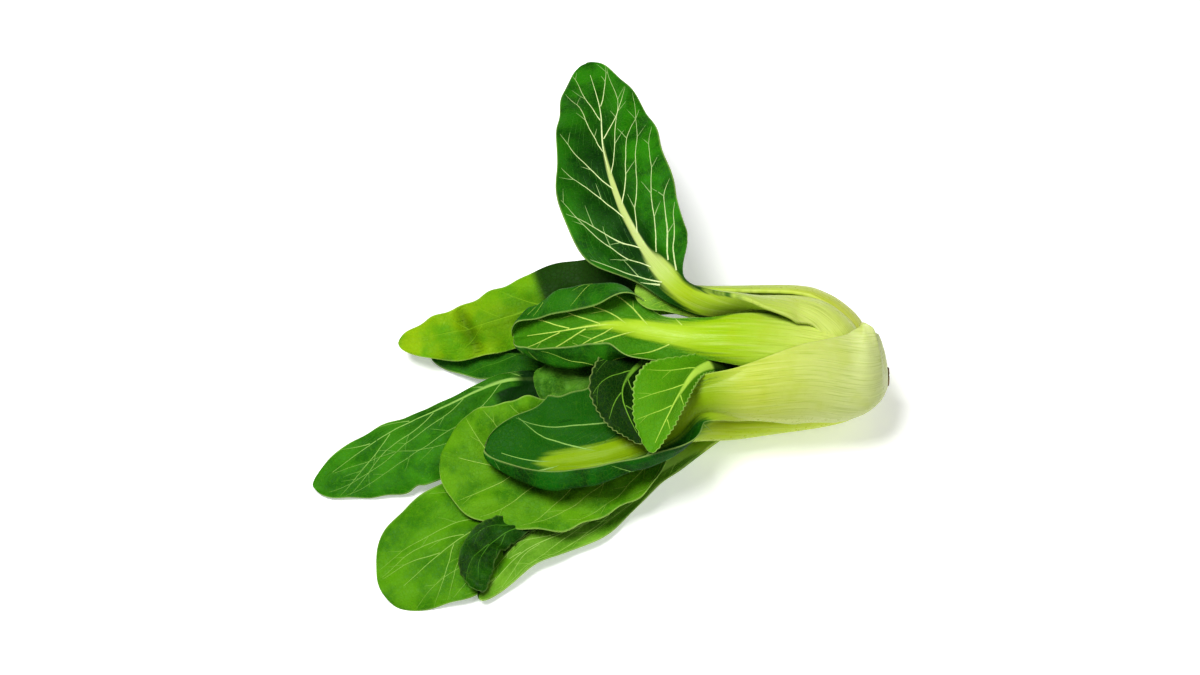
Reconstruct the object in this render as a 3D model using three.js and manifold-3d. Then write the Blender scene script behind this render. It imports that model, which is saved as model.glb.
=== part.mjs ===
// A head of green-stemmed bok choy lying on its side, millimetres, +Z up, root end toward +X.
// Each leaf is a thick pale stalk and a thin green blade, grown from one centre line.
import * as THREE from "three";
import { mergeVertices } from "three/addons/utils/BufferGeometryUtils.js";
import Module from "manifold-3d";

const wasm = await Module();
wasm.setup();

// Driving dimensions
const stalkThickness = 6.5; // middle of a full-grown stalk
const stalkEdge = 1.4; // its thin margin
const bladeThickness = 0.8;
const midribThickness = 3.2; // where the stalk runs on into the blade
const midribHalfWidth = 6;
const pieceGap = 0.3; // between a stalk and its blade, and between neighbours
const slimmestTip = 0.12; // share of the half-width left at the very tip
const marginUnevenness = 0.05; // how far the margin runs in and out, as a share of the half-width
const foldStart = 0.52; // a folded margin turns over from here, as a share of the half-width
const foldEnd = 0.7;
const tipRoundness = 2.4; // 2 closes a leaf's tip in an ellipse, more makes it blunter
const rootRadius = 4.5;
const rootThickness = 4.2;
const rootCentre = [34.9, -4, 24.5];
const groundBlock = [700, 700, 60]; // what lies below the surface that the head rests on

const colours = {
  stalk: 0xc3d873,
  blade: 0x3f8a22,
  root: 0xb8a06a,
};

// Each row of a leaf, from its base to its tip: x, y, z of the centre line, the turn of the inner face
// about it (0 is up), left and right half-width, left and right curl toward the inner face, and left
// and right fold of the margin. neck is where the stalk ends, closing where the tip begins to round,
// waves the height, number and start of the margin's waves.
const leaves = [
  {
    name: "front_leaf",
    neck: 0.39,
    closing: 0.82,
    waves: [1.4, 4, 0],
    rows: [
      [34.6, -9.2, 28.7, 92, 9, 5, 8, 10, 0, 0],
      [34.4, -12.2, 31.3, 97, 23.3, 5, 11, 20, 0, 0],
      [31.8, -18.5, 35.9, 108, 29.5, 7, 17, 30, 0, 0],
      [26.6, -22.6, 40, 118, 33, 14, 47, 48, 0, 0],
      [18, -24, 43, 123, 29, 21, 56, 60, 0, 0],
      [0, -25, 49, 123, 21, 22, 46, 46, 0, 0],
      [-26, -29, 51, 123, 14, 14, 34, 34, 0, 0],
      [-46, -31, 50, 130, 12, 10, 20, 15, 0, -40],
      [-60, -42, 46, 152, 20, 17, 8, 6, 0, -110],
      [-84, -49, 38, 164, 30, 19, 4, 6, 0, -155],
      [-114, -49, 30, 166, 29, 19, 0, 6, 0, -155],
      [-138, -40, 26, 166, 22, 13, 0, 0, 0, -120],
    ],
  },
  {
    name: "low_front_leaf",
    neck: 0.4,
    closing: 0.72,
    waves: [2.2, 4.5, 1],
    rows: [
      [31.5, -9.5, 21.5, 42, 6, 6, 50, 50, 0, 0],
      [27, -12, 17, 42, 12, 12, 50, 50, 0, 0],
      [18, -16, 13, 42, 16, 16, 45, 45, 0, 0],
      [0, -19, 11, 44, 17, 17, 38, 38, 0, 0],
      [-26, -26, 15, 50, 17, 14, 75, 34, 0, 0],
      [-48, -31, 19, 48, 16, 12, 75, 20, 0, 0],
      [-70, -37, 20, 8, 20, 22, 10, 5, 0, 0],
      [-97, -44, 19, -16, 28, 30, 16, 6, 0, 0],
      [-128, -46, 18, -18, 29, 32, 18, 8, 0, 0],
      [-157, -38, 16, -18, 26, 36, 16, 8, 0, 0],
    ],
  },
  {
    name: "raised_leaf",
    neck: 0.42,
    closing: 0.66,
    waves: [0.8, 3, 0],
    rows: [
      [26, 0, 37, 216, 7, 7, 50, 50, 0, 0],
      [21.5, 4.5, 44.5, 216, 13, 13, 62, 62, 0, 0],
      [15, 10, 49.5, 217, 16, 12.5, 62, 55, 0, 0],
      [6, 14.3, 53, 220, 17, 12, 50, 42, 0, 0],
      [-6, 15.8, 54.5, 228, 15, 15, 40, 40, 0, 0],
      [-22, 13.5, 59, 246, 11, 12, 30, 30, 0, 0],
      [-40, 11.5, 65, 290, 9, 5.5, 25, 25, 0, 0],
      [-54, 15, 70, 335, 8.5, 4.5, 15, 15, 0, 0],
      [-64, 24, 73, 350, 12, 18, 8, 8, 0, 0],
      [-71, 35, 74, 352, 23, 21, 6, 6, 0, 0],
      [-79, 52, 76, 352, 25.5, 26, 10, 12, 0, 0],
      [-86, 80, 75, 350, 22, 25, 12, 14, 0, 0],
      [-88, 108, 68, 350, 21, 20.5, 14, 14, 0, 0],
      [-94, 140, 57, 350, 17, 14, 14, 14, 0, 0],
    ],
  },
  {
    name: "middle_leaf",
    neck: 0.46,
    closing: 0.78,
    waves: [1.2, 4, 0],
    rows: [
      [29, -4, 36, 172, 6, 6, 40, 40, 0, 0],
      [20, -4, 46, 172, 11, 11, 38, 38, 0, 0],
      [0, -4, 54, 172, 14, 14, 38, 38, 0, 0],
      [-22, -5, 60, 170, 13, 13, 30, 30, 0, 0],
      [-46, -4, 60, 168, 9, 10, 20, 20, 0, 0],
      [-66, 0, 58, 162, 9, 16, 10, 10, -30, -60],
      [-84, 5, 54, 156, 30, 27, 6, 6, -150, -150],
      [-106, 6, 47, 154, 28, 27, 6, 6, -165, -155],
      [-126, 8, 38, 154, 22, 20, 6, 6, -130, -120],
    ],
  },
  {
    name: "back_leaf",
    neck: 0.42,
    closing: 0.76,
    waves: [2.2, 5.5, 0.6],
    rows: [
      [30.5, 2, 27, 262, 7, 7, 50, 50, 0, 0],
      [28, 11, 30.5, 262, 14, 14, 50, 50, 0, 0],
      [22, 19.5, 34, 262, 18, 17, 48, 48, 0, 0],
      [11, 26.5, 37, 262, 19, 17, 44, 44, 0, 0],
      [-3, 29.5, 38, 262, 18, 17, 38, 38, 0, 0],
      [-44, 28, 40, 268, 12, 12, 25, 25, 0, 0],
      [-66, 32, 38, 300, 12, 12, 10, 10, 0, 0],
      [-97, 34, 33, 335, 17, 15, -10, -10, 0, 0],
      [-123, 27, 27, 342, 15, 15, -14, -14, 0, 0],
      [-150, 22, 20, 340, 14, 12, -14, -14, 0, 0],
      [-178, 20, 13, 340, 12, 9, -10, -10, 0, 0],
    ],
  },
  {
    name: "long_leaf",
    neck: 0.38,
    closing: 0.8,
    waves: [1.8, 6.5, 0],
    rows: [
      [31.5, -3, 17.5, 352, 5, 5, 30, 30, 0, 0],
      [20, 2, 7, 348, 10, 10, 30, 30, 0, 0],
      [0, 6, 2.6, 350, 12, 12, 28, 28, 0, 0],
      [-44, 5, 6, 356, 10, 10, 18, 18, 0, 0],
      [-80, 1, 11, 355, 9, 8, 0, 0, 0, 0],
      [-105, -1, 15, 352, 14, 5, -6, -10, 0, 0],
      [-130, -3, 18, 350, 23, 4, -8, -15, 0, 0],
      [-156, -15, 17, 348, 29, 2.5, -8, -15, 0, 0],
      [-171, -21.5, 14.5, 349, 29, 2.5, -8, -15, 0, 0],
      [-185, -28, 11, 350, 28, 6, -8, -10, 0, 0],
      [-214, -47, 2, 352, 18, 8, -4, -5, 0, 0],
    ],
  },
  {
    name: "far_low_leaf",
    neck: 0.36,
    closing: 0.7,
    waves: [1.4, 4, 0],
    stalk: 5,
    rows: [
      [31.5, 3, 21, 310, 4, 4, 30, 30, 0, 0],
      [20, 16, 14, 310, 8, 8, 30, 30, 0, 0],
      [0, 23, 13, 315, 8, 8, 26, 26, 0, 0],
      [-30, 18, 15, 335, 8, 8, 15, 15, 0, 0],
      [-60, 13, 16, 345, 11, 11, 5, 5, 0, 0],
      [-90, 13, 17, 350, 16, 15, 0, 0, 0, 0],
      [-119, 12, 16, 352, 13, 14, -4, -4, 0, 0],
      [-142, 16, 9, 352, 13, 13, -6, -6, 0, 0],
      [-164, 20, 2, 352, 11, 11, 0, 0, 0, 0],
    ],
  },
  {
    name: "round_leaf",
    neck: 0.4,
    closing: 0.7,
    waves: [1.6, 4, 0],
    stalk: 5,
    rows: [
      [22, -6, 21, 30, 5, 5, 25, 25, 0, 0],
      [0, -9, 16, 25, 8, 8, 25, 25, 0, 0],
      [-28, -10, 10, 10, 7, 7, 15, 15, 0, 0],
      [-55, -18, 5, 4, 6, 6, 8, 8, 0, 0],
      [-84, -38, 5, 0, 9, 9, 0, 0, 0, 0],
      [-118, -58, 7, -2, 18, 20, -6, -6, 0, 0],
      [-144, -73, 9, -2, 25, 29, -8, -8, 0, 0],
      [-162, -87, 7, -2, 26, 33, -10, -10, 0, 0],
      [-179, -102, 1, -2, 22, 29, -8, -8, 0, 0],
    ],
  },
  {
    name: "bottom_leaf",
    neck: 0.36,
    closing: 0.5,
    waves: [1.0, 3, 0],
    stalk: 4,
    rows: [
      [16, -13, 21, 40, 3, 3, 10, 10, 0, 0],
      [-6, -16, 19, 40, 4, 4, 10, 10, 0, 0],
      [-30, -19, 8, 25, 5, 5, 10, 10, 0, 0],
      [-50, -31, 4, 10, 5, 5, 5, 5, 0, 0],
      [-70, -48, 5, 0, 6, 8, 5, 5, 0, 0],
      [-90, -64.5, 6, -4, 9, 13, 8, 8, 0, 0],
      [-107, -73.5, 7, -4, 10, 14, 8, 8, 0, 0],
      [-123, -83, 7, -4, 10, 12, 8, 8, 0, 0],
      [-140, -103, 5, -4, 9, 8, 6, 6, 0, 0],
    ],
  },
  {
    name: "wrinkled_leaf",
    neck: 0.5,
    closing: 0.74,
    waves: [3, 6, 0],
    stalk: 2.4,
    rows: [
      [4, -8, 24, 20, 3, 3, 0, 0, 0, 0],
      [-30, -14, 16, 10, 3, 3, 0, 0, 0, 0],
      [-60, -27, 11, 0, 3, 3, 0, 0, 0, 0],
      [-92, -53, 10, 0, 3, 3, 0, 0, 0, 0],
      [-114, -67, 9.8, 0, 3, 4, 0, 0, 0, 0],
      [-132, -77, 12, 0, 6, 10, 10, 10, 0, 0],
      [-140, -89, 12, 0, 9, 12, 10, 10, 0, 0],
      [-139, -102, 10, 0, 8, 9, 10, 10, 0, 0],
    ],
  },
  {
    name: "young_light_leaf",
    neck: 0.44,
    closing: 0.74,
    waves: [0.6, 3, 0],
    stalk: 3,
    rows: [
      [12, -7, 35, 140, 4, 4, 20, 20, 0, 0],
      [-14, -9, 44, 150, 4, 4, 20, 20, 0, 0],
      [-32, -11, 49, 160, 5, 4, 10, 10, 0, 0],
      [-45, -19.3, 57.5, 170, 9, 3, 5, 5, 0, 0],
      [-53, -32, 62.5, 176, 20, 4, -8, 5, 0, 0],
      [-60, -45.5, 61, 178, 17, 5, -8, 8, 0, 0],
      [-66.5, -58.5, 56, 178, 9, 4, 0, 8, 0, 0],
    ],
  },
  {
    name: "young_dark_leaf",
    neck: 0.44,
    closing: 0.74,
    waves: [0.6, 3, 0],
    stalk: 3,
    rows: [
      [10, -1, 33, 150, 4, 4, 20, 20, 0, 0],
      [-20, -4, 38, 150, 5, 5, 20, 20, 0, 0],
      [-48, -4, 42, 150, 6, 6, 10, 10, 0, 0],
      [-66, -7, 46, 160, 12, 9, 5, 5, 0, 0],
      [-76, -19, 50, 175, 16, 11, 5, 5, 0, 0],
      [-78, -32, 52, 178, 13, 11, 8, 8, 0, 0],
      [-70, -52, 52, 178, 7, 8, 8, 8, 0, 0],
    ],
  },
  {
    name: "crinkled_leaf",
    neck: 0.4,
    closing: 0.84,
    waves: [2.4, 6, 0],
    stalk: 3.5,
    rows: [
      [10, -4, 25, 10, 5, 5, 20, 20, 0, 0],
      [-26, -8, 28, 5, 7, 7, 10, 10, 0, 0],
      [-53, -9, 30, -5, 8, 8, 5, 5, 0, 0],
      [-79, -9, 32, -10, 12, 11, 0, 0, 0, 0],
      [-101, -9, 30, -10, 13, 12, 0, 0, 0, 0],
      [-117, -8, 28, -10, 11, 11, 0, 0, 0, 0],
    ],
  },
  {
    name: "heart_leaf",
    neck: 0.74,
    closing: 0.86,
    waves: [0.8, 3, 0],
    stalk: 3,
    rows: [
      [14, 2, 38, 340, 4, 4, 20, 20, 0, 0],
      [0, 7, 46, 340, 5, 5, 20, 20, 0, 0],
      [-18, 9, 51, 335, 5, 5, 15, 15, 0, 0],
      [-34, 11, 56, 330, 6, 5, 10, 10, 0, 0],
      [-48, 12, 60.5, 335, 6, 6, 5, 5, 0, 0],
      [-60, 14, 65, 340, 7.5, 7.5, 0, 0, 0, 0],
      [-73, 16, 65, 340, 7.5, 7.5, 0, 0, 0, 0],
    ],
  },
];

const degree = Math.PI / 180;
const clamp = (value, low, high) => Math.min(high, Math.max(low, value));

function smoothStep(value, low, high) {
  const share = clamp((value - low) / (high - low), 0, 1);
  return share * share * (3 - 2 * share);
}

// A smooth curve through a leaf's rows, read at a row number that need not be whole
function rowAt(rows, place) {
  const index = clamp(Math.floor(place), 0, rows.length - 2);
  const f = place - index;
  const near = [-1, 0, 1, 2].map((step) => rows[clamp(index + step, 0, rows.length - 1)]);
  return near[1].map((value, column) => {
    const [a, b, c, d] = near.map((row) => row[column]);
    const bend = (2 * a - 5 * b + 4 * c - d) * f * f + (3 * b - a - 3 * c + d) * f * f * f;
    return 0.5 * (2 * b + (c - a) * f + bend);
  });
}

// Row numbers at even steps of length along the centre line, for going from a share to a row
function lengthTable(rows) {
  const stepsPerRow = 12;
  const table = [{ place: 0, length: 0 }];
  let last = rowAt(rows, 0);
  for (let step = 1; step <= (rows.length - 1) * stepsPerRow; step++) {
    const place = step / stepsPerRow;
    const next = rowAt(rows, place);
    const stride = Math.hypot(next[0] - last[0], next[1] - last[1], next[2] - last[2]);
    table.push({ place, length: table[table.length - 1].length + stride });
    last = next;
  }
  return table;
}

function placeAt(table, share) {
  const total = table[table.length - 1].length;
  const wanted = clamp(share, 0, 1) * total;
  const index = clamp(table.findIndex((entry) => entry.length >= wanted), 1, table.length - 1);
  const [low, high] = [table[index - 1], table[index]];
  return low.place + ((wanted - low.length) / (high.length - low.length)) * (high.place - low.place);
}

// Thickness of the leaf at a share of its length and a distance from the centre line
function thicknessAt(leaf, share, across, halfWidth) {
  const intoBlade = smoothStep(share, leaf.neck - 0.06, leaf.neck + 0.1);
  const middle = THREE.MathUtils.lerp(leaf.stalk ?? stalkThickness, midribThickness, intoBlade);
  const taper = 1 - 0.7 * smoothStep(share, leaf.neck, 1);
  const edge = THREE.MathUtils.lerp(stalkEdge, bladeThickness, intoBlade);
  const ribWidth = THREE.MathUtils.lerp(halfWidth, midribHalfWidth * taper, intoBlade);
  const bulge = Math.max(0, 1 - (across / ribWidth) ** 2);
  return edge + Math.max(0, middle * taper - edge) * bulge;
}

// One cross-section: points of the inner and the outer face, from the left margin to the right one
function section(leaf, table, share, halfColumns, grow) {
  const place = placeAt(table, share);
  const row = rowAt(leaf.rows, place);
  const reach = 0.01;
  const ahead = rowAt(leaf.rows, Math.min(place + reach, leaf.rows.length - 1));
  const behind = rowAt(leaf.rows, Math.max(place - reach, 0));
  const along = new THREE.Vector3(ahead[0] - behind[0], ahead[1] - behind[1], ahead[2] - behind[2]);
  along.normalize();
  const up = new THREE.Vector3(0, 0, 1).addScaledVector(along, -along.z).normalize();
  const sideways = new THREE.Vector3().crossVectors(along, up);
  const turn = row[3] * degree;
  const inward = up.clone().multiplyScalar(Math.cos(turn)).addScaledVector(sideways, Math.sin(turn));
  const right = sideways.clone().multiplyScalar(Math.cos(turn)).addScaledVector(up, -Math.sin(turn));
  const centre = new THREE.Vector3(row[0], row[1], row[2]);
  const overshoot = share <= 0 ? -grow : share >= 1 ? grow : 0;
  centre.addScaledVector(along, overshoot);

  const rounding = clamp((share - leaf.closing) / (1 - leaf.closing), 0, 1);
  const tip = Math.max(slimmestTip, (1 - rounding ** tipRoundness) ** (1 / tipRoundness));
  const ripple = smoothStep(share, leaf.neck, leaf.neck + 0.15) * leaf.waves[0];
  const inner = [];
  const outer = [];
  for (const side of [-1, 1]) {
    const pick = side < 0 ? 0 : 1;
    const turns = 2 * Math.PI * leaf.waves[1] * share + leaf.waves[2];
    const uneven = 0.6 * Math.sin(1.3 * turns + side * 2) + 0.4 * Math.sin(2.7 * turns + side);
    const swing = 0.7 * Math.sin(turns + side * 1.1) + 0.3 * Math.sin(1.8 * turns + side * 2.3);
    const swell = 1 + (marginUnevenness * uneven * ripple) / leaf.waves[0];
    const halfWidth = row[4 + pick] * tip * swell + grow;
    const curl = row[6 + pick] * degree;
    const fold = row[8 + pick] * degree;
    let out = 0;
    let lift = 0;
    for (let column = 0; column <= halfColumns; column++) {
      const at = column / halfColumns;
      const angle = curl * at + fold * smoothStep(at, foldStart, foldEnd);
      if (column > 0) {
        const half = at - 0.5 / halfColumns;
        const heading = curl * half + fold * smoothStep(half, foldStart, foldEnd);
        out += (Math.cos(heading) * halfWidth) / halfColumns;
        lift += (Math.sin(heading) * halfWidth) / halfColumns;
      }
      if (column === 0 && side > 0) continue;
      const wave = ripple * at * at * swing;
      const half = thicknessAt(leaf, share, at * halfWidth, halfWidth) / 2 + grow;
      const place3 = (offset) =>
        centre
          .clone()
          .addScaledVector(right, side * (out - Math.sin(angle) * offset))
          .addScaledVector(inward, lift + wave + Math.cos(angle) * offset);
      const add = side < 0 ? "unshift" : "push";
      inner[add](place3(half));
      outer[add](place3(-half));
    }
  }
  return { inner, outer };
}

// A closed body from one section to the next, with both faces split the same way
function sweep(leaf, from, to, steps, halfColumns, crowding, grow = 0) {
  const table = lengthTable(leaf.rows);
  const points = [];
  const faces = [];
  const columns = 2 * halfColumns + 1;
  for (let step = 0; step <= steps; step++) {
    const share = from + (to - from) * (1 - (1 - step / steps) ** crowding);
    const { inner, outer } = section(leaf, table, share, halfColumns, grow);
    points.push(...inner, ...outer);
  }
  const inner = (step, column) => step * 2 * columns + column;
  const outer = (step, column) => inner(step, column) + columns;
  const quad = (a, b, c, d) => faces.push(a, b, c, a, c, d);
  for (let step = 0; step < steps; step++) {
    for (let column = 0; column < columns - 1; column++) {
      const next = column + 1;
      quad(inner(step, column), inner(step, next), inner(step + 1, next), inner(step + 1, column));
      faces.push(outer(step, column), outer(step + 1, next), outer(step, next));
      faces.push(outer(step, column), outer(step + 1, column), outer(step + 1, next));
    }
    quad(inner(step, 0), inner(step + 1, 0), outer(step + 1, 0), outer(step, 0));
    const last = columns - 1;
    quad(outer(step, last), outer(step + 1, last), inner(step + 1, last), inner(step, last));
  }
  for (let column = 0; column < columns - 1; column++) {
    const next = column + 1;
    quad(inner(0, column), outer(0, column), outer(0, next), inner(0, next));
    quad(inner(steps, column), inner(steps, next), outer(steps, next), outer(steps, column));
  }
  const geometry = new THREE.BufferGeometry();
  const flat = points.flatMap((point) => [point.x, point.y, point.z]);
  geometry.setAttribute("position", new THREE.Float32BufferAttribute(flat, 3));
  geometry.setIndex(faces);
  return geometry;
}

function toManifold(geometry) {
  const bare = geometry.clone();
  bare.deleteAttribute("normal");
  bare.deleteAttribute("uv");
  const merged = mergeVertices(bare, 1e-5);
  const vertProperties = new Float32Array(merged.attributes.position.array);
  const triVerts = new Uint32Array(merged.index.array);
  return new wasm.Manifold(new wasm.Mesh({ numProp: 3, vertProperties, triVerts }));
}

function toGeometry(solid) {
  const mesh = solid.getMesh();
  const geometry = new THREE.BufferGeometry();
  geometry.setAttribute("position", new THREE.BufferAttribute(mesh.vertProperties, 3));
  geometry.setIndex(new THREE.BufferAttribute(mesh.triVerts, 1));
  geometry.computeVertexNormals();
  return geometry;
}

function largestPiece(solid) {
  const pieces = solid.decompose();
  return pieces.reduce((best, piece) => (piece.volume() > best.volume() ? piece : best));
}

const head = new THREE.Group();

function addPiece(name, solid, colour, roughness) {
  const material = new THREE.MeshStandardMaterial({ color: colour, roughness, metalness: 0 });
  const mesh = new THREE.Mesh(toGeometry(solid), material);
  mesh.name = name;
  head.add(mesh);
}

const ground = toManifold(
  new THREE.BoxGeometry(...groundBlock).translate(0, 0, -groundBlock[2] / 2)
);

// Leaves that lie in front come first. Each later one is trimmed clear of those before it.
const placed = [ground];
for (const leaf of leaves) {
  const total = lengthTable(leaf.rows).at(-1).length;
  const breakShare = pieceGap / 2 / total;
  const [stalkSteps, bladeSteps, halfColumns] = leaf.stalk ? [7, 12, 4] : [10, 16, 5];
  const stalk = (grow) => toManifold(sweep(leaf, 0, leaf.neck - breakShare, stalkSteps, 3, 1, grow));
  const blade = (grow) =>
    toManifold(sweep(leaf, leaf.neck + breakShare, 1, bladeSteps, halfColumns, 1.5, grow));
  const trim = (solid) => placed.reduce((rest, other) => rest.subtract(other), solid);
  addPiece(`${leaf.name}_stalk`, largestPiece(trim(stalk(0))), colours.stalk, 0.35);
  addPiece(`${leaf.name}_blade`, largestPiece(trim(blade(0))), colours.blade, 0.5);
  placed.push(stalk(pieceGap), blade(pieceGap));
}

const rootEnd = new THREE.LatheGeometry(
  [
    new THREE.Vector2(0, 0),
    new THREE.Vector2(rootRadius, 0),
    new THREE.Vector2(rootRadius * 0.9, rootThickness * 0.7),
    new THREE.Vector2(rootRadius * 0.6, rootThickness),
    new THREE.Vector2(0, rootThickness),
  ],
  24
);
rootEnd.rotateZ(-Math.PI / 2).translate(...rootCentre);
const rootClear = placed.reduce((rest, other) => rest.subtract(other), toManifold(rootEnd));
addPiece("root_end", largestPiece(rootClear), colours.root, 0.7);

// The origin goes under the middle of the whole head
const box = new THREE.Box3().setFromObject(head);
const middle = box.getCenter(new THREE.Vector3());
head.position.set(-middle.x, -middle.y, -box.min.z);

const group = new THREE.Group();
group.add(head);

export default group;
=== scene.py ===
import math

import bpy
import numpy as np
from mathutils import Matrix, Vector


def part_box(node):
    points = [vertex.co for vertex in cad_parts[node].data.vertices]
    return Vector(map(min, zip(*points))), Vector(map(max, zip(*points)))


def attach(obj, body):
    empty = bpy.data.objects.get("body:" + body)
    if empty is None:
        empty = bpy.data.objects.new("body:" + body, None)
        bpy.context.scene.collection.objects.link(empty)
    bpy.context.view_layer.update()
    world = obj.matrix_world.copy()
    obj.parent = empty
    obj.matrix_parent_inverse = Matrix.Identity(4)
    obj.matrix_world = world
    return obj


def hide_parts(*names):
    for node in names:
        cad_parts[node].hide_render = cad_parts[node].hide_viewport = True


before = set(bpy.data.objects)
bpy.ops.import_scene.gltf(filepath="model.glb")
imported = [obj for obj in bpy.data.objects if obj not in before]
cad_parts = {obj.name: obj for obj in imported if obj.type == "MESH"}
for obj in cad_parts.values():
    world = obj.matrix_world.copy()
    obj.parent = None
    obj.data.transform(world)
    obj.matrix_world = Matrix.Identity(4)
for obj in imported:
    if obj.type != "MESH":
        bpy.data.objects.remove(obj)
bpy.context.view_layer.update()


# Camera, table and light: a long lens looks down on the head from the front, over a pale table
# top. One broad soft lamp stands at the upper left and a weaker one at the right, and the room
# gives some pale light from all round.
MM = 0.001
VIEW_HEIGHT = math.radians(60)
LENS = 100
SENSOR_WIDTH = 36
FRAME_WIDTH = 528 * MM
LOOK_AT = (-88, 11, 33)
FAR_LIMIT = 20
TABLE_HALF = 6
TABLE_GLOW = 0.3
ROOM_LIGHT = 0.12

# Where the root end's outer face and middle lie in the millimetres of the leaves' rows.
ROOT_END_PLACE = (39.1, -4)
root_low, root_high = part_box("root_end")
HEAD_SHIFT = np.array(
    [root_high[0] / MM - ROOT_END_PLACE[0], (root_low[1] + root_high[1]) / 2 / MM - ROOT_END_PLACE[1], 0]
)

scene = bpy.context.scene


def place_object(name, data):
    made = bpy.data.objects.new(name, data)
    scene.collection.objects.link(made)
    return made


camera_data = bpy.data.cameras.new("camera")
camera_data.lens = LENS
camera_data.sensor_width = SENSOR_WIDTH
camera_data.clip_end = FAR_LIMIT
camera = place_object("camera", camera_data)
toward_camera = Vector((0, -math.cos(VIEW_HEIGHT), math.sin(VIEW_HEIGHT)))
look_at = Vector(HEAD_SHIFT + LOOK_AT) * MM
camera.location = look_at + toward_camera * (FRAME_WIDTH * LENS / SENSOR_WIDTH)
camera.rotation_euler = (math.pi / 2 - VIEW_HEIGHT, 0, 0)
scene.camera = camera


def fill(tree, made, values):
    """Sets a node's inputs by socket; a value is a number, a colour or another node's output."""
    for key, value in values.items():
        if isinstance(value, bpy.types.NodeSocket):
            tree.links.new(value, made.inputs[key])
        else:
            made.inputs[key].default_value = value


def new_material(name):
    """A new material, its node tree and its shader."""
    material = bpy.data.materials.new(name)
    material.use_nodes = True
    return material, material.node_tree, material.node_tree.nodes["Principled BSDF"]


table_finish, tree, shader = new_material("pale table")
fill(tree, shader, {"Base Color": (0.92, 0.92, 0.92, 1), "Roughness": 0.6})
fill(tree, shader, {"Emission Color": (1, 1, 1, 1), "Emission Strength": TABLE_GLOW})
floor_mesh = bpy.data.meshes.new("table top")
floor_corners = [(x * TABLE_HALF, y * TABLE_HALF, 0) for x, y in ((-1, -1), (1, -1), (1, 1), (-1, 1))]
floor_mesh.from_pydata(floor_corners, [], [(0, 1, 2, 3)])
floor_mesh.materials.append(table_finish)
floor = place_object("table_top", floor_mesh)


def soft_lamp(name, place, size, watts):
    data = bpy.data.lights.new(name, "AREA")
    data.shape = "DISK"
    data.size = size
    data.energy = watts
    lamp = place_object(name, data)
    lamp.location = place
    lamp.rotation_euler = (-Vector(place)).to_track_quat("-Z", "Y").to_euler()


soft_lamp("main lamp", place=(-0.36, -0.08, 1.25), size=0.55, watts=16)
soft_lamp("fill lamp", place=(0.6, -0.5, 1.0), size=0.8, watts=3)
world = bpy.data.worlds.new("room light")
world.use_nodes = True
fill(world.node_tree, world.node_tree.nodes["Background"], {"Color": (1, 1, 1, 1), "Strength": ROOM_LIGHT})
scene.world = world
scene.view_settings.view_transform = "Standard"
scene.view_settings.look = "Medium High Contrast"


# Front leaf: the outermost leaf, a broad pale stalk wrapping the others and a thin blade, back up, with
# its lower margin rolled. Like every leaf below it grows from the root end in rows of millimetres and
# degrees: centre line, turn of its inner face, left and right half-width, curl and, if it has one, fold.
STALK_EDGE = 1.4
BLADE_THICK = 0.55
MIDRIB_THICK = 3.2
MIDRIB_HALF = 6
MIDRIB_THINNING = 0.7
FOLD_FROM, FOLD_TO = 0.52, 0.7
MARGIN_UNEVENNESS = 0.05
NARROWEST = 0.3
TIP_ROUNDNESS = 2.4
TIP_BLUNTNESS = 0.02
TIP_CROWDING = 1.3
STEPS_PER_ROW = 40
ROW_VALUES = 10

# What a leaf is like unless its own values say otherwise: lengths in mm, and places in shares of
# the leaf's length, counted from its neck where it says so, or of its half-width from -1 to 1.
USUAL_LEAF = dict(
    stalk=6.5,  # thickness in its middle
    grid=(150, 34),  # lines along the leaf and columns in each half
    teeth=(0, 3),  # depth and pitch of the margin's teeth
    frill=0.4,  # height of the margin's small waves
    heading=(34, 26),  # degrees between the midrib and the first and last side veins
    forks=1,  # levels of forks
    vein_size=1,
    crowded=1.15,  # over 1, the side veins crowd toward the neck
    fan=0.12,  # how far out the first side veins start
    early=0.07,  # how far before the neck a wide fan starts
    midrib=3.6,  # half-width of the pale midrib, its taper, and how much and where it greens
    rib_taper=2,
    rib_fade=0.8,
    rib_out=(0.35, 0.8),
    narrow=(-0.03, 0.09),  # from the neck: where the pale width draws in to the midrib
    green_later=0,  # from the neck: where the green starts
    lobe=(0.02, 0.02),  # how far it runs back along the left and right margins
    puff=0.7,  # how high the blade stands between its veins
    swell=0.22,  # height and length of its broad waves
    swell_size=(14, 34),
    dents=(),  # place, width and depth of creases across it, each also painted darker as shade
    painted_shade=(2, 3, 3),  # where it is painted dark as shade under others: from, to, and to on its left half
    under=2,  # where its right margin starts to be painted dark as shade
    rib_shade=0.5,  # how dark the painted shade beside the midrib is, and how far out it reaches to the left and right
    rib_shade_reach=(11, 11),
    sun=0,  # how far the tip has yellowed
    rim=1,  # how pale the margin's edge is
    base=(198, 216, 100),  # the stalk's colours, at the root end and at the neck
    stem=(150, 190, 40),
)


def smooth(value, low, high):
    share = np.clip((value - low) / (high - low), 0, 1)
    return share * share * (3 - 2 * share)


def unit(vectors):
    return vectors / np.linalg.norm(vectors, axis=-1, keepdims=True)


def rows_along(rows, places):
    """A smooth curve through a leaf's rows, read at row numbers that need not be whole."""
    table = np.array(rows, float)
    last = len(table) - 1
    places = np.clip(places, 0, last)
    index = np.clip(np.floor(places).astype(int), 0, last - 1)
    f = (places - index)[:, None]
    a, b, c, d = (table[np.clip(index + step, 0, last)] for step in (-1, 0, 1, 2))
    bend = (2 * a - 5 * b + 4 * c - d) * f**2 + (3 * b - a - 3 * c + d) * f**3
    return 0.5 * (2 * b + (c - a) * f + bend)


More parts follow.
